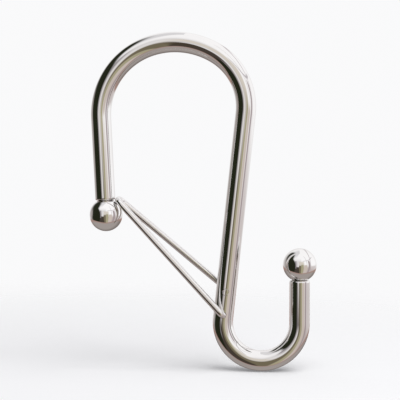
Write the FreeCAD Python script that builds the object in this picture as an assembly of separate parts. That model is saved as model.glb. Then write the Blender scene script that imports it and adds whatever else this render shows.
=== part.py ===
# Curtain hook: a bent rod with a ball on each end and a sprung wire gate.
# Units are millimetres and degrees. +X is right, +Y is away from the viewer, +Z is up.
# The origin is the inside of the large loop at its crown, where a rail carries the hook.

import FreeCAD, Part
import math
import os

from FreeCAD import Vector

# Rod
rod_diameter = 5.0
rod_end_chamfer = 0.2

# Large loop, measured on the rod's centre line: a flat crown between two shoulders
crown_radius = 20.0
crown_left_angle = 16.0
crown_right_angle = 30.7
left_shoulder_radius = 17.7
right_shoulder_radius = 15.4
left_limb_lean = 2.8
left_limb_length = 20.4

# Shank and small hook, also on the centre line
shank_lean = 6.2
shank_length = 50.8
small_bend_radius = 9.45
small_limb_length = 10.7

# Balls, each drilled for a spigot that is turned on the end of the rod
ball_diameter = 8.2
ball_seat_diameter = 3.6
spigot_diameter = 2.0
spigot_length = 4.2
spigot_radial_clearance = 0.02
spigot_end_clearance = 0.3

# Gate: one hairpin of spring wire whose two ends are bent into cross holes in the shank
wire_diameter = 1.6
pin_bend_inner_radius = 0.25
tip_bend_inner_radius = 0.95
tip_flat_width = 0.14
front_pin_height = 1.1
pin_spacing = 5.7
pin_radial_clearance = 0.05
leg_side_clearance = 0.3
gate_rest_clearance = 0.06

# Sizes that follow from the driving dimensions
rod_radius = rod_diameter / 2
ball_radius = ball_diameter / 2
wire_radius = wire_diameter / 2
spigot_radius = spigot_diameter / 2
pin_bend_radius = pin_bend_inner_radius + wire_radius
tip_half_width = tip_bend_inner_radius + wire_radius
tip_bend_radius = tip_half_width - tip_flat_width / 2
crown_apex = Vector(0, 0, rod_radius)
depth_axis = Vector(0, 1, 0)


def heading_vector(heading):
    angle = math.radians(heading)
    return Vector(math.cos(angle), 0, math.sin(angle))


# The rod's centre line is walked as straight runs and tangent arcs in the XZ plane
def straight_run(start, heading, length):
    end = start + heading_vector(heading) * length
    return Part.LineSegment(start, end).toShape(), end, heading


def tangent_arc(start, heading, radius, turn):
    side = math.copysign(1, turn)
    centre = start + heading_vector(heading + 90 * side) * radius
    middle = centre - heading_vector(heading + turn / 2 + 90 * side) * radius
    end = centre - heading_vector(heading + turn + 90 * side) * radius
    return Part.Arc(start, middle, end).toShape(), end, heading + turn


# A limb is swept up to its chamfer, and its tip is where the ball seats
def end_limb(start, heading, length):
    edge = straight_run(start, heading, length - rod_end_chamfer)[0]
    return edge, start + heading_vector(heading) * length, heading


def left_half_of_loop():
    crown, point, heading = tangent_arc(crown_apex, 180, crown_radius, crown_left_angle)
    turn = 90 + left_limb_lean - crown_left_angle
    shoulder, point, heading = tangent_arc(point, heading, left_shoulder_radius, turn)
    limb, point, heading = end_limb(point, heading, left_limb_length)
    return [crown, shoulder, limb], point, heading


def right_half_of_loop():
    crown, point, heading = tangent_arc(crown_apex, 0, crown_radius, -crown_right_angle)
    turn = 90 + shank_lean - crown_right_angle
    shoulder, point, heading = tangent_arc(point, heading, right_shoulder_radius, -turn)
    shank, point, heading = straight_run(point, heading, shank_length)
    return [crown, shoulder, shank], point, heading


def small_hook(start, heading):
    bend, point, heading = tangent_arc(start, heading, small_bend_radius, 180 + shank_lean)
    limb, point, heading = end_limb(point, heading, small_limb_length)
    return [bend, limb], point, heading


def round_sweep(edges, radius):
    path = Part.Wire(edges)
    start = edges[0].valueAt(edges[0].FirstParameter)
    tangent = edges[0].tangentAt(edges[0].FirstParameter)
    section = Part.Wire(Part.makeCircle(radius, start, tangent))
    return path.makePipeShell([section], True, True)


# A rod end is chamfered and carries the spigot that the ball is pressed on
def rod_end(tip, heading):
    out = heading_vector(heading)
    chamfer_start = tip - out * rod_end_chamfer
    face_radius = rod_radius - rod_end_chamfer
    chamfer = Part.makeCone(rod_radius, face_radius, rod_end_chamfer, chamfer_start, out)
    spigot = Part.makeCylinder(spigot_radius, spigot_length, tip, out)
    return chamfer.fuse(spigot)


def cross_hole(centre):
    start = centre - depth_axis * rod_diameter
    radius = wire_radius + pin_radial_clearance
    return Part.makeCylinder(radius, 2 * rod_diameter, start, depth_axis)


def hook_rod():
    edges = list(reversed(loop_left_edges)) + loop_right_edges + small_hook_edges
    rod = round_sweep(edges, rod_radius)
    rod = rod.fuse([rod_end(left_end, left_heading), rod_end(small_end, small_heading)])
    return rod.removeSplitter().cut([cross_hole(front_pin), cross_hole(rear_pin)])


# A ball has a small flat that seats on the rod's end face, and a blind hole for the spigot
def seated_ball(seat, heading):
    out = heading_vector(heading)
    centre = seat + out * ball_seat_depth
    ball = Part.makeSphere(ball_radius, centre)
    above_seat = Part.makeCylinder(ball_radius, ball_radius, seat, out * -1)
    hole_radius = spigot_radius + spigot_radial_clearance
    hole = Part.makeCylinder(hole_radius, spigot_length + spigot_end_clearance, seat, out)
    return ball.cut([above_seat, hole])


# A wire's centre line is given by its corners, each rounded by a tangent arc
def rounded_path(corners, radii):
    edges = []
    start = corners[0]
    for index, radius in enumerate(radii, start=1):
        corner = corners[index]
        into = (corner - corners[index - 1]).normalize()
        out = (corners[index + 1] - corner).normalize()
        half_turn = into.getAngle(out) / 2
        trim = radius * math.tan(half_turn)
        arc_start = corner - into * trim
        arc_end = corner + out * trim
        inward = (out - into).normalize()
        arc_middle = corner + inward * (radius / math.cos(half_turn) - radius)
        edges.append(Part.LineSegment(start, arc_start).toShape())
        edges.append(Part.Arc(arc_start, arc_middle, arc_end).toShape())
        start = arc_end
    edges.append(Part.LineSegment(start, corners[-1]).toShape())
    return edges


# The closed gate's tip lies in the notch between the rod's end and the upper ball
def gate_tip_centre():
    down = heading_vector(left_heading)
    inward = heading_vector(left_heading + 90)
    from_limb = rod_radius + wire_radius + gate_rest_clearance
    from_ball = ball_radius + wire_radius + gate_rest_clearance
    above_ball = math.sqrt(from_ball ** 2 - from_limb ** 2)
    return upper_ball_centre + inward * from_limb - down * above_ball


def wire_gate():
    tip = gate_tip_centre()
    leg_offset = depth_axis * (rod_radius + wire_radius + leg_side_clearance)
    tip_offset = depth_axis * tip_half_width
    pin_reach = depth_axis * math.sqrt(rod_radius ** 2 - wire_radius ** 2)
    corners = [
        front_pin + pin_reach,
        front_pin - leg_offset,
        tip - tip_offset,
        tip + tip_offset,
        rear_pin + leg_offset,
        rear_pin - pin_reach,
    ]
    radii = [pin_bend_radius, tip_bend_radius, tip_bend_radius, pin_bend_radius]
    return round_sweep(rounded_path(corners, radii), wire_radius)


def write_node(name, shape):
    shape.exportStep("parts/" + name + ".step")
    box = shape.BoundBox
    print(name, "solids", len(shape.Solids), "valid", shape.isValid(),
          "volume", round(shape.Volume, 2),
          "X", round(box.XMin, 2), round(box.XMax, 2),
          "Y", round(box.YMin, 2), round(box.YMax, 2),
          "Z", round(box.ZMin, 2), round(box.ZMax, 2))


# Places on the centre line that more than one piece is set from
loop_left_edges, left_end, left_heading = left_half_of_loop()
loop_right_edges, shank_foot, shank_heading = right_half_of_loop()
small_hook_edges, small_end, small_heading = small_hook(shank_foot, shank_heading)
up_shank = heading_vector(shank_heading) * -1
front_pin = shank_foot + up_shank * front_pin_height
rear_pin = front_pin + up_shank * pin_spacing
ball_seat_depth = math.sqrt(ball_radius ** 2 - (ball_seat_diameter / 2) ** 2)
upper_ball_centre = left_end + heading_vector(left_heading) * ball_seat_depth
lower_ball_centre = small_end + heading_vector(small_heading) * ball_seat_depth

os.makedirs("parts", exist_ok=True)
write_node("hook_rod", hook_rod())
write_node("upper_ball", seated_ball(left_end, left_heading))
write_node("lower_ball", seated_ball(small_end, small_heading))
write_node("wire_gate", wire_gate())

print("rod ends", left_end, small_end, "shank foot", shank_foot)
print("ball centres", upper_ball_centre, lower_ball_centre)
print("gate pins", front_pin, rear_pin, "tip", gate_tip_centre())
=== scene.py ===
import math

import bpy
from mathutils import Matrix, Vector


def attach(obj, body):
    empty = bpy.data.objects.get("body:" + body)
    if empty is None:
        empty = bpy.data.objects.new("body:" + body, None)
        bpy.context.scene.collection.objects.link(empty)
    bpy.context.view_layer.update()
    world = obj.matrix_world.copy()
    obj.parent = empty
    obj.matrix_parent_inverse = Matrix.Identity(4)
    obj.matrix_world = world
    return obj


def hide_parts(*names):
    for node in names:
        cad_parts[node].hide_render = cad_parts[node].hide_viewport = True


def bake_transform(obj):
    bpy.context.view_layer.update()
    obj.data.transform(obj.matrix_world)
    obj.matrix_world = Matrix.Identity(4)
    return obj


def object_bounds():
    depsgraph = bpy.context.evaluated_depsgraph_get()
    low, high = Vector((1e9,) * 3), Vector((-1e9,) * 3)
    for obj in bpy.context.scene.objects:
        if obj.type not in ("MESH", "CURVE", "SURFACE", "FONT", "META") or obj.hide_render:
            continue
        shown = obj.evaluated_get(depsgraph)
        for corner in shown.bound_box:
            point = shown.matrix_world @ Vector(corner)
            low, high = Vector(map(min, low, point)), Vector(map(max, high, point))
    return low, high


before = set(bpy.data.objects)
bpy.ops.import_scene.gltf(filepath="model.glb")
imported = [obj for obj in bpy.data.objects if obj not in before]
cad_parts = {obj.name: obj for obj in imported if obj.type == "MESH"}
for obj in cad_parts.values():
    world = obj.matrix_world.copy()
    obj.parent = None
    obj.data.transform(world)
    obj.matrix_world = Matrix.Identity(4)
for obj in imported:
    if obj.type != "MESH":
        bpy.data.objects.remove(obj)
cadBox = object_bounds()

# Curtain hook: a bent rod with a ball on each end, and a sprung wire gate across its large loop.
# Lengths are in metres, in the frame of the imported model, and angles in degrees.
# +X is right, +Y points away from the viewer and +Z is up.

mm = 0.001
depthAxis = Vector((0, 1, 0))
smoothAngle = 30
tolerance = 0.001 * mm  # points nearer than this to a plane count as lying in it


# Mesh helpers

def clearSelection():
    if bpy.context.mode != "OBJECT":
        bpy.ops.object.mode_set(mode="OBJECT")
    bpy.ops.object.select_all(action="DESELECT")


def selectOnly(piece):
    clearSelection()
    piece.select_set(True)
    bpy.context.view_layer.objects.active = piece


def headingVector(degrees):
    # a direction in the plane of the hook, turned up from +X
    angle = math.radians(degrees)
    return Vector((math.cos(angle), 0, math.sin(angle)))


def facing(direction):
    # the turn that points a new primitive's own Z along the direction
    return Vector(direction).to_track_quat("Z", "Y").to_euler()


def editPrimitive(name):
    # names the new primitive, puts its place into its mesh and selects all of it for editing
    piece = bpy.context.active_object
    piece.name = name
    bpy.ops.object.transform_apply(location=True, rotation=True, scale=True)
    bpy.ops.object.mode_set(mode="EDIT")
    bpy.ops.mesh.select_all(action="SELECT")
    return piece


def startRing(name, sides, radius, centre, direction):
    # an open ring of edges across the direction
    clearSelection()
    bpy.ops.mesh.primitive_circle_add(
        vertices=sides, radius=radius, location=centre, rotation=facing(direction))
    return editPrimitive(name)


def pushRing(offset, scale=1.0, centre=None):
    # extrudes what is selected along the offset, then widens or narrows it about its new centre
    bpy.ops.mesh.extrude_region_move(TRANSFORM_OT_translate={"value": tuple(offset)})
    if scale != 1.0:
        bpy.ops.transform.resize(value=(scale, scale, scale), center_override=tuple(centre))


def turnRing(centre, axis, degrees, degreesPerStep):
    # with no window, spin turns the left-handed way round, so its axis is given reversed
    steps = max(2, round(abs(degrees) / degreesPerStep))
    bpy.ops.mesh.spin(steps=steps, angle=math.radians(degrees), center=tuple(centre), axis=tuple(-axis))


def finishMesh():
    # faces outwards and smooth, with hard edges kept
    bpy.ops.mesh.select_all(action="SELECT")
    bpy.ops.mesh.normals_make_consistent(inside=False)
    bpy.ops.object.mode_set(mode="OBJECT")
    bpy.ops.object.shade_smooth_by_angle(angle=math.radians(smoothAngle))


def closeEnds():
    bpy.ops.mesh.select_all(action="SELECT")
    bpy.ops.mesh.fill_holes(sides=0)
    finishMesh()


# Rod: walked along its centre line from the large loop's crown

rod = {
    "radius": 2.5 * mm,
    "sides": 96,
    "endRounding": 0.45 * mm,
    "endSteps": 4,
    "endReach": 1.3,  # where the plain rod starts behind its end face, in roundings
    "crownRadius": 20.0 * mm,
    "crownLeft": 16.0,
    "crownRight": 30.7,
    "leftShoulder": 17.7 * mm,
    "rightShoulder": 15.4 * mm,
    "leftLean": 2.8,
    "leftLimb": 20.4 * mm,
    "shankLean": 6.2,
    "shank": 50.8 * mm,
    "smallBend": 9.45 * mm,
    "smallLimb": 10.7 * mm,
    "degreesPerStep": 1.5,
    "holeZone": 10.0 * mm,  # length of the shank, above its foot, that takes the cross holes
    "holeSides": 48,
    "steel": {"tint": (0.80, 0.793, 0.788), "rough": (0.02, 0.05), "grain": 400, "bump": 0.05},
}


def walkArc(point, heading, radius, turn):
    side = math.copysign(1, turn)
    centre = point + headingVector(heading + 90 * side) * radius
    end = centre - headingVector(heading + turn + 90 * side) * radius
    return centre, end, heading + turn


def rodPlaces():
    # left half from the crown down to its limb, then right half down to the small hook
    crown = Vector((0, 0, rod["radius"]))
    leftTurn = 90 + rod["leftLean"] - rod["crownLeft"]
    rightTurn = 90 + rod["shankLean"] - rod["crownRight"]
    smallTurn = 180 + rod["shankLean"]
    crownCentre, point, heading = walkArc(crown, 180, rod["crownRadius"], rod["crownLeft"])
    leftCentre, limbTop, heading = walkArc(point, heading, rod["leftShoulder"], leftTurn)
    leftDown = headingVector(heading)
    _, point, heading = walkArc(crown, 0, rod["crownRadius"], -rod["crownRight"])
    rightCentre, shankTop, heading = walkArc(point, heading, rod["rightShoulder"], -rightTurn)
    shankDown = headingVector(heading)
    foot = shankTop + shankDown * rod["shank"]
    smallCentre, smallTop, heading = walkArc(foot, heading, rod["smallBend"], smallTurn)
    smallUp = headingVector(heading)
    return {
        "crownCentre": crownCentre,
        "leftCentre": leftCentre,
        "leftTurn": leftTurn,
        "leftDown": leftDown,
        "leftEnd": limbTop + leftDown * rod["leftLimb"],
        "rightCentre": rightCentre,
        "rightTurn": rightTurn,
        "shankDown": shankDown,
        "foot": foot,
        "smallCentre": smallCentre,
        "smallTurn": smallTurn,
        "smallUp": smallUp,
        "smallEnd": smallTop + smallUp * rod["smallLimb"],
    }


def roundedEnd(tip, inward, opening):
    # the rings of the rod's rounded end edge, from the face to the side, or back when closing
    rounding = rod["endRounding"]
    rings = []
    for step in range(rod["endSteps"] + 1):
        angle = math.radians(90) * step / rod["endSteps"]
        depth = rounding * (1 - math.cos(angle))
        rings.append((tip + inward * depth, rod["radius"] - rounding + rounding * math.sin(angle)))
    rings.append((tip + inward * rod["endReach"] * rounding, rod["radius"]))
    if not opening:
        rings.reverse()
    for (start, narrow), (end, wide) in zip(rings, rings[1:]):
        pushRing(end - start, wide / narrow, end)
    return rings[-1][0]


def drillAcross(piece, centre):
    # the drill runs front to back, and is twice as long as the rod is thick
    clearSelection()
    bpy.ops.mesh.primitive_cylinder_add(
        vertices=rod["holeSides"], radius=gate["radius"] + gate["holeClearance"],
        depth=4 * rod["radius"], location=centre, rotation=(math.pi / 2, 0, 0))
    drill = bpy.context.active_object
    selectOnly(piece)
    cut = piece.modifiers.new("cross_hole", "BOOLEAN")
    cut.operation = "DIFFERENCE"
    cut.solver = "EXACT"
    cut.object = drill
    bpy.ops.object.modifier_apply(modifier=cut.name)
    bpy.data.objects.remove(drill)


def makeRod():
    # one ring, pushed and turned from the spigot in the upper ball to the one in the lower ball
    spigot = ball["spigotRadius"]
    faceShare = (rod["radius"] - rod["endRounding"]) / spigot
    inward = -places["leftDown"]
    spigotEnd = places["leftEnd"] + places["leftDown"] * ball["spigotLength"]
    piece = startRing("bent_rod", rod["sides"], spigot, spigotEnd, inward)
    pushRing(inward * ball["spigotLength"])
    pushRing(Vector(), faceShare, places["leftEnd"])
    here = roundedEnd(places["leftEnd"], inward, True)
    pushRing(places["leftEnd"] + inward * rod["leftLimb"] - here)
    fine = rod["degreesPerStep"]
    turnRing(places["leftCentre"], depthAxis, places["leftTurn"], fine)
    turnRing(places["crownCentre"], depthAxis, rod["crownLeft"] + rod["crownRight"], fine)
    turnRing(places["rightCentre"], depthAxis, places["rightTurn"], fine)
    pushRing(places["shankDown"] * (rod["shank"] - rod["holeZone"]))
    pushRing(places["shankDown"] * rod["holeZone"])
    turnRing(places["smallCentre"], -depthAxis, places["smallTurn"], fine)
    outward = places["smallUp"]
    pushRing(outward * (rod["smallLimb"] - rod["endReach"] * rod["endRounding"]))
    roundedEnd(places["smallEnd"], -outward, False)
    pushRing(Vector(), 1 / faceShare, places["smallEnd"])
    pushRing(outward * ball["spigotLength"])
    closeEnds()
    for pin in (frontPin, rearPin):
        drillAcross(piece, pin)
    bpy.ops.object.shade_smooth_by_angle(angle=math.radians(smoothAngle))
    return piece


# Balls: each seats on the rod's end face with a small flat, and is drilled for the rod's spigot

ball = {
    "radius": 4.1 * mm,
    "seatRadius": 1.8 * mm,
    "spigotRadius": 1.0 * mm,
    "spigotLength": 4.2 * mm,
    "holeClearance": 0.02 * mm,
    "holeEndGap": 0.3 * mm,
    "segments": 128,
    "rings": 64,
    "steel": {"tint": (0.82, 0.815, 0.81), "rough": (0.015, 0.03), "grain": 400, "bump": 0.03},
}


def makeBall(name, seat, direction):
    clearSelection()
    bpy.ops.mesh.primitive_uv_sphere_add(
        segments=ball["segments"], ring_count=ball["rings"], radius=ball["radius"],
        location=seat + direction * seatDepth, rotation=facing(direction))
    piece = editPrimitive(name)
    bpy.ops.mesh.bisect(
        plane_co=tuple(seat), plane_no=tuple(direction), use_fill=True, clear_inner=True,
        threshold=tolerance)
    holeRadius = ball["spigotRadius"] + ball["holeClearance"]
    pushRing(Vector(), holeRadius / ball["seatRadius"], seat)
    pushRing(direction * (ball["spigotLength"] + ball["holeEndGap"]))
    finishMesh()
    return piece


# Gate: one hairpin of wire, whose two ends turn into the cross holes in the shank

gate = {
    "radius": 0.8 * mm,
    "sides": 40,
    "endRounding": 0.08 * mm,
    "endRings": (0.3, 0.6),  # rings on the wire's end face, as shares of its radius
    "faceBelowRod": 0.01 * mm,
    "rimBelowRod": 0.07 * mm,
    "pinBend": 1.05 * mm,
    "tipHalfWidth": 1.75 * mm,
    "tipBend": 1.68 * mm,
    "frontPinHeight": 1.1 * mm,
    "pinSpacing": 5.7 * mm,
    "holeClearance": 0.05 * mm,
    "legClearance": 0.3 * mm,
    "restClearance": 0.06 * mm,
    "degreesPerStep": 7.5,
    "legSteps": 66,  # rings along each leg, evenly spaced
    "flexStart": 0.6 * mm,
    "flexEnd": 6.4 * mm,
    "grind": {"sides": 256, "spacings": 3, "reach": 0.5 * mm},  # the round form its ends are ground to
    "steel": {"tint": (0.80, 0.79, 0.785), "rough": (0.03, 0.07), "grain": 900, "bump": 0.07},
}


def gateTip():
    # the tip lies in the notch between the rod's end and the upper ball
    intoLoop = places["leftDown"].cross(depthAxis)
    fromLimb = rod["radius"] + gate["radius"] + gate["restClearance"]
    fromBall = ball["radius"] + gate["radius"] + gate["restClearance"]
    aboveBall = math.sqrt(fromBall ** 2 - fromLimb ** 2)
    upperBallCentre = places["leftEnd"] + places["leftDown"] * seatDepth
    return upperBallCentre + intoLoop * fromLimb - places["leftDown"] * aboveBall


def gateCorners():
    tip = gateTip()
    legOffset = depthAxis * (rod["radius"] + gate["radius"] + gate["legClearance"])
    tipOffset = depthAxis * gate["tipHalfWidth"]
    pinReach = depthAxis * math.sqrt(rod["radius"] ** 2 - gate["radius"] ** 2)
    return [frontPin + pinReach, frontPin - legOffset, tip - tipOffset,
            tip + tipOffset, rearPin + legOffset, rearPin - pinReach]


def grindFlush(piece, groupName, ends, below):
    # the points level with the ends go onto a round form that lies just below the shank's surface
    grind = gate["grind"]
    near = []
    for vertex in piece.data.vertices:
        for end in ends:
            isLevel = abs(vertex.co.y - end.y) < tolerance
            if isLevel and (vertex.co - end).length < gate["radius"] + tolerance:
                near.append(vertex.index)
    piece.vertex_groups.new(name=groupName).add(near, 1.0, "REPLACE")
    clearSelection()
    bpy.ops.mesh.primitive_cylinder_add(
        vertices=grind["sides"], radius=rod["radius"] - below,
        depth=grind["spacings"] * gate["pinSpacing"],
        location=(frontPin + rearPin) / 2, rotation=facing(places["shankDown"]))
    form = bpy.context.active_object
    selectOnly(piece)
    wrap = piece.modifiers.new("flush", "SHRINKWRAP")
    wrap.wrap_method = "PROJECT"
    wrap.use_project_y = True
    wrap.use_negative_direction = True
    wrap.project_limit = grind["reach"]
    wrap.vertex_group = groupName
    wrap.target = form
    bpy.ops.object.modifier_apply(modifier=wrap.name)
    bpy.data.objects.remove(form)


def makeGate():
    corners = gateCorners()
    bends = [gate["pinBend"], gate["tipBend"], gate["tipBend"], gate["pinBend"]]
    runSteps = [1, gate["legSteps"], 1, gate["legSteps"]]
    rounding = gate["endRounding"]
    faceShare = 1 - rounding / gate["radius"]
    shares = [*gate["endRings"], faceShare]
    along = (corners[1] - corners[0]).normalized()
    piece = startRing("gate_wire", gate["sides"], gate["radius"] * shares[0], corners[0], along)
    for narrow, wide in zip(shares, shares[1:]):
        pushRing(Vector(), wide / narrow, corners[0])
    here = corners[0] + along * rounding
    pushRing(along * rounding, 1 / faceShare, here)
    for before, corner, after, bend, steps in zip(corners, corners[1:], corners[2:], bends, runSteps):
        into = (corner - before).normalized()
        out = (after - corner).normalized()
        turn = into.angle(out)
        trim = bend * math.tan(turn / 2)
        centre = corner + (out - into).normalized() * (bend / math.cos(turn / 2))
        run = corner - into * trim - here
        for _ in range(steps):
            pushRing(run / steps)
        turnRing(centre, into.cross(out).normalized(), math.degrees(turn), gate["degreesPerStep"])
        here = corner + out * trim
    last = corners[-1] - here
    along = last.normalized()
    pushRing(last - along * rounding)
    pushRing(along * rounding, faceShare, corners[-1])
    for wide, narrow in zip(shares[::-1], shares[-2::-1]):
        pushRing(Vector(), narrow / wide, corners[-1])
    closeEnds()
    faces = (corners[0], corners[-1])
    rims = (corners[0] - depthAxis * rounding, corners[-1] + depthAxis * rounding)
    grindFlush(piece, "pin_faces", faces, gate["faceBelowRod"])
    grindFlush(piece, "pin_rims", rims, gate["rimBelowRod"])
    return piece


# Places that more than one piece is set from

places = rodPlaces()
frontPin = places["foot"] - places["shankDown"] * gate["frontPinHeight"]
rearPin = frontPin - places["shankDown"] * gate["pinSpacing"]
seatDepth = math.sqrt(ball["radius"] ** 2 - ball["seatRadius"] ** 2)


# Node helpers

def addNode(tree, kind, **settings):
    node = tree.nodes.new(kind)
    for key, value in settings.items():
        setattr(node, key, value)
    return node


def feed(tree, socket, value):
    # a number or a colour is set on the socket, and another node's output is linked to it
    if isinstance(value, (int, float)):
        socket.default_value = value
    elif isinstance(value, tuple):
        socket.default_value = (*value, 1)
    else:
        tree.links.new(value, socket)


def mathNode(tree, operation, first, second=None, clamp=False):
    node = addNode(tree, "ShaderNodeMath", operation=operation, use_clamp=clamp)
    feed(tree, node.inputs[0], first)
    if second is not None:
        feed(tree, node.inputs[1], second)
    return node.outputs[0]


def rangeNode(tree, value, fromRange, toRange, **settings):
    node = addNode(tree, "ShaderNodeMapRange", **settings)
    node.inputs["From Min"].default_value = fromRange[0]
    node.inputs["From Max"].default_value = fromRange[1]
    node.inputs["To Min"].default_value = toRange[0]
    node.inputs["To Max"].default_value = toRange[1]
    tree.links.new(value, node.inputs["Value"])
    return node.outputs["Result"]


def softStep(tree, value, start, end):
    # 0 at start, 1 at end, smooth between, and start may be the larger
    ends = (0.0, 1.0) if end > start else (1.0, 0.0)
    return rangeNode(tree, value, (min(start, end), max(start, end)), ends,
                     interpolation_type="SMOOTHSTEP")


def mixShaders(tree, amount, first, second):
    node = addNode(tree, "ShaderNodeMixShader")
    for socket, value in zip(node.inputs, (amount, first, second)):
        tree.links.new(value, socket)
    return node.outputs[0]


# Steel: a polish with a very fine grain and a faint smear of tone

polish = {
    "grainDetail": 3.0,
    "grainRange": (0.3, 0.7),
    "reliefDepth": 0.002 * mm,
    "smearScale": 90.0,
    "smearDetail": 2.0,
    "smearRange": (0.35, 0.65),
    "smearTint": (0.96, 0.955, 0.95),
}


def noiseNode(tree, place, scale, detail):
    node = addNode(tree, "ShaderNodeTexNoise")
    node.inputs["Scale"].default_value = scale
    node.inputs["Detail"].default_value = detail
    tree.links.new(place, node.inputs["Vector"])
    return node.outputs["Fac"]


def polishedSteel(name, steel):
    material = bpy.data.materials.new(name)
    material.use_nodes = True
    tree = material.node_tree
    shader = tree.nodes["Principled BSDF"]
    shader.inputs["Metallic"].default_value = 1.0
    place = addNode(tree, "ShaderNodeTexCoord").outputs["Object"]
    grain = noiseNode(tree, place, steel["grain"], polish["grainDetail"])
    tree.links.new(rangeNode(tree, grain, polish["grainRange"], steel["rough"]),
                   shader.inputs["Roughness"])
    colour = addNode(tree, "ShaderNodeValToRGB")
    tint = steel["tint"]
    smeared = [channel * share for channel, share in zip(tint, polish["smearTint"])]
    stops = zip(colour.color_ramp.elements, polish["smearRange"], (smeared, tint))
    for stop, position, shade in stops:
        stop.position = position
        stop.color = (*shade, 1)
    smear = noiseNode(tree, place, polish["smearScale"], polish["smearDetail"])
    tree.links.new(smear, colour.inputs["Fac"])
    tree.links.new(colour.outputs["Color"], shader.inputs["Base Color"])
    relief = addNode(tree, "ShaderNodeBump")
    relief.inputs["Strength"].default_value = steel["bump"]
    relief.inputs["Distance"].default_value = polish["reliefDepth"]
    tree.links.new(grain, relief.inputs["Height"])
    tree.links.new(relief.outputs["Normal"], shader.inputs["Normal"])
    return material


def dress(piece, material):
    piece.data.materials.clear()
    piece.data.materials.append(material)


# Studio: a soft white room, with the darker and warmer things that the polished metal mirrors.
# Azimuth is measured from the camera's own towards the right, and elevation from the horizon.
# A panel spans two azimuths and two elevations, and a disc or a ring has a centre and a radius.

studio = {
    "backdrop": (0.953, 0.953, 0.961),
    "softLight": (0.47, 0.47, 0.48),
    "whiteWall": (1.16, 1.15, 1.16),
    "things": {
        "leftCeiling": {"shape": "panel", "from": -210, "to": -40, "low": 56, "high": 110,
                        "soft": 30, "colour": (0.84, 0.83, 0.85)},
        "greyWall": {"shape": "panel", "from": -75, "to": 6, "low": -70, "high": 28,
                     "soft": 16, "rise": 56, "colour": (0.56, 0.53, 0.525)},
        "lowFurniture": {"shape": "panel", "from": -60, "to": 84, "low": -80, "high": -6,
                         "soft": 24, "colour": (0.62, 0.54, 0.51)},
        "rightLedge": {"shape": "panel", "from": 80, "to": 210, "low": -80, "high": -5,
                       "soft": 8, "colour": (0.74, 0.68, 0.67)},
        "rightFurniture": {"shape": "panel", "from": 74, "to": 210, "low": -80, "high": -20,
                           "soft": 18, "colour": (0.60, 0.51, 0.49)},
        "warmBlind": {"shape": "panel", "from": -16, "to": 24, "low": 4, "high": 26,
                      "soft": 12, "colour": (0.80, 0.74, 0.66)},
        "beigeCloth": {"shape": "panel", "from": 24, "to": 48, "low": -45, "high": 4,
                       "soft": 9, "colour": (0.70, 0.61, 0.55)},
        "oliveCloth": {"shape": "panel", "from": 3, "to": 22, "low": -80, "high": 7,
                       "soft": 9, "colour": (0.46, 0.425, 0.275)},
        "mauvePost": {"shape": "panel", "from": 57, "to": 71, "low": -80, "high": 26,
                      "soft": 8, "colour": (0.42, 0.35, 0.36)},
        "windowRim": {"shape": "ring", "azimuth": 122, "elevation": 0, "radius": 50, "width": 4,
                      "soft": 4, "colour": (0.55, 0.49, 0.51)},
        "windowBarUpright": {"shape": "panel", "from": 44, "to": 47, "low": 6, "high": 64,
                             "soft": 2, "colour": (0.62, 0.58, 0.60)},
        "windowBarLevel": {"shape": "panel", "from": 16, "to": 112, "low": 29, "high": 32,
                           "soft": 2, "colour": (0.62, 0.58, 0.60)},
        "brownBench": {"shape": "panel", "from": -120, "to": -4, "low": -70, "high": -8,
                       "soft": 8, "colour": (0.07, 0.055, 0.045)},
        "greyPost": {"shape": "panel", "from": -42, "to": -30, "low": -18, "high": 30,
                     "soft": 6, "colour": (0.38, 0.35, 0.37)},
        "paleStrip": {"shape": "panel", "from": -22, "to": -12, "low": -9, "high": 24,
                      "soft": 6, "colour": (0.92, 0.90, 0.90)},
        "darkBasket": {"shape": "panel", "from": -22, "to": 1, "low": -40, "high": -10,
                       "soft": 6, "colour": (0.07, 0.055, 0.04)},
        "darkPlant": {"shape": "panel", "from": -11, "to": 4, "low": -60, "high": 0,
                      "soft": 5, "colour": (0.20, 0.17, 0.11)},
        "darkScreen": {"shape": "disc", "azimuth": -76, "elevation": -2, "radius": 42,
                       "soft": 9, "colour": (0.020, 0.023, 0.012)},
        "darkArch": {"shape": "disc", "azimuth": -106, "elevation": 30, "radius": 36,
                     "soft": 16, "colour": (0.022, 0.025, 0.014)},
        "brownWall": {"shape": "panel", "from": -240, "to": -112, "low": -70, "high": 16,
                      "soft": 26, "colour": (0.30, 0.27, 0.255)},
        "farLeftLamp": {"shape": "disc", "azimuth": -178, "elevation": -8, "radius": 42,
                        "soft": 56, "colour": (0.88, 0.86, 0.86)},
        "sideLamp": {"shape": "disc", "azimuth": -116, "elevation": 2, "radius": 12,
                     "soft": 16, "colour": (0.46, 0.42, 0.40)},
    },
    "tableEdge": {"middle": -37, "sway": 24, "towards": 2, "soft": 5},
    "brickLine": {"width": 7, "soft": 4, "colour": (0.44, 0.295, 0.255)},
    "tableTop": (0.42, 0.375, 0.355),
    "tableBack": (0.20, 0.175, 0.165),
    "backBlend": (0.3, 1.0),  # how squarely a ray points away from the viewer as the back takes over
}


def panelMask(tree, sight, thing):
    half = thing["soft"] / 2
    halfRise = thing.get("rise", thing["soft"]) / 2
    azimuth = sight["azimuth"]
    elevation = sight["elevation"]
    mask = softStep(tree, azimuth, thing["from"] - half, thing["from"] + half)
    for side in (softStep(tree, azimuth, thing["to"] + half, thing["to"] - half),
                 softStep(tree, elevation, thing["low"] - half, thing["low"] + half),
                 softStep(tree, elevation, thing["high"] + halfRise, thing["high"] - halfRise)):
        mask = mathNode(tree, "MULTIPLY", mask, side)
    return mask


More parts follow.
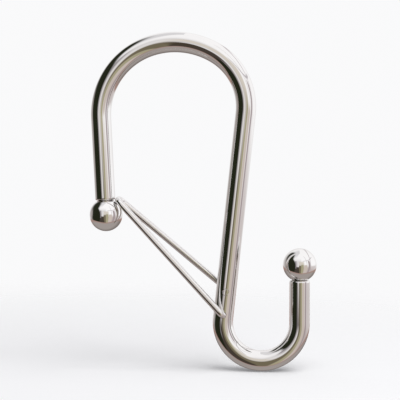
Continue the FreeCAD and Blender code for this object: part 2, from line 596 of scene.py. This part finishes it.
def discMask(tree, sight, thing):
    # a ring is a disc without its middle
    half = thing["soft"] / 2
    rim = thing["radius"]
    away = angleFrom(tree, sight["direction"], thing["azimuth"], thing["elevation"])
    mask = softStep(tree, away, rim + half, rim - half)
    if thing["shape"] == "ring":
        inner = rim - thing["width"]
        mask = mathNode(tree, "MULTIPLY", mask, softStep(tree, away, inner - half, inner + half))
    return mask


def angleFrom(tree, direction, azimuth, elevation):
    # degrees between a ray and a place on the room's walls
    dot = addNode(tree, "ShaderNodeVectorMath", operation="DOT_PRODUCT")
    tree.links.new(direction, dot.inputs[0])
    dot.inputs[1].default_value = lookFrom(azimuth + camera["azimuth"], elevation)
    return mathNode(tree, "DEGREES", mathNode(tree, "ARCCOSINE", dot.outputs["Value"]))


def layOver(tree, below, above, amount, label):
    # in a colour mix, socket 0 is the amount, 6 and 7 are the two colours, and 2 is the result
    node = addNode(tree, "ShaderNodeMix", data_type="RGBA", label=label)
    feed(tree, node.inputs[0], amount)
    feed(tree, node.inputs[6], below)
    feed(tree, node.inputs[7], above)
    return node.outputs[2]


def buildRoom(tree):
    # the colour that a mirror ray meets in each direction
    direction = addNode(tree, "ShaderNodeTexCoord").outputs["Generated"]
    parts = addNode(tree, "ShaderNodeSeparateXYZ")
    tree.links.new(direction, parts.inputs[0])
    towardsViewer = mathNode(tree, "MULTIPLY", parts.outputs["Y"], -1.0)
    turn = mathNode(tree, "ARCTAN2", parts.outputs["X"], towardsViewer)
    azimuth = mathNode(tree, "SUBTRACT", mathNode(tree, "DEGREES", turn), camera["azimuth"])
    elevation = mathNode(tree, "DEGREES", mathNode(tree, "ARCSINE", parts.outputs["Z"]))
    sight = {"direction": direction, "azimuth": azimuth, "elevation": elevation}
    room = studio["whiteWall"]
    for name, thing in studio["things"].items():
        maskFor = panelMask if thing["shape"] == "panel" else discMask
        room = layOver(tree, room, thing["colour"], maskFor(tree, sight, thing), name)
    edge = studio["tableEdge"]
    swing = mathNode(tree, "RADIANS", mathNode(tree, "SUBTRACT", azimuth, edge["towards"]))
    sway = mathNode(tree, "MULTIPLY", mathNode(tree, "COSINE", swing), edge["sway"])
    aboveEdge = mathNode(tree, "ADD", mathNode(tree, "SUBTRACT", elevation, edge["middle"]), sway)
    line = studio["brickLine"]
    half = line["soft"] / 2
    lineMask = softStep(tree, aboveEdge, line["width"] + half, line["width"] - half)
    room = layOver(tree, room, line["colour"], lineMask, "brickLine")
    backMask = softStep(tree, parts.outputs["Y"], *studio["backBlend"])
    table = layOver(tree, studio["tableTop"], studio["tableBack"], backMask, "tableBack")
    return layOver(tree, room, table, softStep(tree, aboveEdge, edge["soft"], -edge["soft"]), "table")


def glow(tree, colour):
    node = addNode(tree, "ShaderNodeBackground")
    feed(tree, node.inputs["Color"], colour)
    return node.outputs[0]


def buildWorld():
    # metal mirrors the room, the camera sees a plain backdrop, and all else gets the soft light
    world = bpy.data.worlds.new("studio")
    bpy.context.scene.world = world
    world.use_nodes = True
    tree = world.node_tree
    tree.nodes.clear()
    ray = addNode(tree, "ShaderNodeLightPath").outputs
    beforeFloor = mathNode(tree, "SUBTRACT", 1.0, ray["Diffuse Depth"], clamp=True)
    seenInMetal = mathNode(tree, "MULTIPLY", ray["Is Glossy Ray"], beforeFloor)
    soft = glow(tree, studio["softLight"])
    lit = mixShaders(tree, seenInMetal, soft, glow(tree, buildRoom(tree)))
    seen = mixShaders(tree, ray["Is Camera Ray"], lit, glow(tree, studio["backdrop"]))
    out = addNode(tree, "ShaderNodeOutputWorld")
    tree.links.new(seen, out.inputs["Surface"])


# Floor: takes the hook's shadow near it, and fades into the backdrop further out

floor = {
    "size": 1.2,
    "colour": (0.955, 0.955, 0.963),
    "roughness": 0.9,
    "fadeCentre": (-0.02, -0.06, 0),
    "fade": (0.08, 0.24),
}


def buildFloor(height):
    clearSelection()
    bpy.ops.mesh.primitive_plane_add(size=floor["size"], location=(0, 0, height))
    sheet = bpy.context.active_object
    sheet.name = "floor"
    sheet.visible_glossy = False
    material = bpy.data.materials.new("pale_floor")
    material.use_nodes = True
    tree = material.node_tree
    shader = tree.nodes["Principled BSDF"]
    feed(tree, shader.inputs["Base Color"], floor["colour"])
    shader.inputs["Roughness"].default_value = floor["roughness"]
    shader.inputs["Specular IOR Level"].default_value = 0.0
    place = addNode(tree, "ShaderNodeTexCoord").outputs["Object"]
    reach = addNode(tree, "ShaderNodeVectorMath", operation="DISTANCE")
    tree.links.new(place, reach.inputs[0])
    reach.inputs[1].default_value = floor["fadeCentre"]
    fade = softStep(tree, reach.outputs["Value"], *floor["fade"])
    clear = addNode(tree, "ShaderNodeBsdfTransparent").outputs[0]
    surface = mixShaders(tree, fade, shader.outputs[0], clear)
    tree.links.new(surface, tree.nodes["Material Output"].inputs["Surface"])
    sheet.data.materials.append(material)


# Lamp: high on the right, and hidden from the mirrors

softBox = {
    "place": (0.24, -0.20, 0.57),
    "size": 0.55,
    "energy": 3.4,
}


def buildLamp():
    bpy.ops.object.light_add(type="AREA", location=softBox["place"])
    lamp = bpy.context.active_object
    lamp.name = "soft_box"
    lamp.data.size = softBox["size"]
    lamp.data.energy = softBox["energy"]
    lamp.rotation_euler = (camera["target"] - lamp.location).to_track_quat("-Z", "Y").to_euler()
    lamp.visible_glossy = False


# Camera: near the hook, so that the mirrored bands shift from limb to limb

camera = {
    "azimuth": 5.0,
    "elevation": 2.0,
    "distance": 220 * mm,
    "target": Vector((6.42, 0, -36.45)) * mm,
    "lens": 80.0,
    "sensorWidth": 36,
    "clipStart": 0.01,
}


def lookFrom(azimuth, elevation):
    # the direction from the hook to a place that far round to the right and that far up
    turn = math.radians(azimuth)
    rise = math.radians(elevation)
    return Vector((math.sin(turn) * math.cos(rise), -math.cos(turn) * math.cos(rise), math.sin(rise)))


def buildCamera():
    towards = lookFrom(camera["azimuth"], camera["elevation"])
    bpy.ops.object.camera_add(location=camera["target"] + towards * camera["distance"])
    eye = bpy.context.active_object
    eye.name = "viewpoint"
    eye.rotation_euler = (-towards).to_track_quat("-Z", "Y").to_euler()
    eye.data.lens = camera["lens"]
    eye.data.sensor_width = camera["sensorWidth"]
    eye.data.clip_start = camera["clipStart"]
    bpy.context.scene.camera = eye


# The hook is made, dressed and matched with the frame

rodPiece = makeRod()
print("rod", rodPiece.dimensions)
upperBall = makeBall("ball_upper", places["leftEnd"], places["leftDown"])
lowerBall = makeBall("ball_lower", places["smallEnd"], places["smallUp"])
print("balls", upperBall.dimensions)
gatePiece = makeGate()
print("gate", gatePiece.dimensions)

ballSteel = polishedSteel("polished_ball_steel", ball["steel"])
dress(rodPiece, polishedSteel("polished_rod_steel", rod["steel"]))
dress(upperBall, ballSteel)
dress(lowerBall, ballSteel)
dress(gatePiece, polishedSteel("spring_wire_steel", gate["steel"]))
print("materials")

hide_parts("hook_rod")
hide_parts("upper_ball")
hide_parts("lower_ball")
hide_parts("wire_gate")
for piece in (rodPiece, upperBall, lowerBall):
    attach(piece, "hook")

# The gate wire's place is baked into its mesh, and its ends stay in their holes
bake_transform(gatePiece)

buildWorld()
buildFloor(cadBox[0][2])
buildLamp()
buildCamera()
bpy.context.scene.view_settings.view_transform = "Standard"
print("studio, floor, lamp and camera")
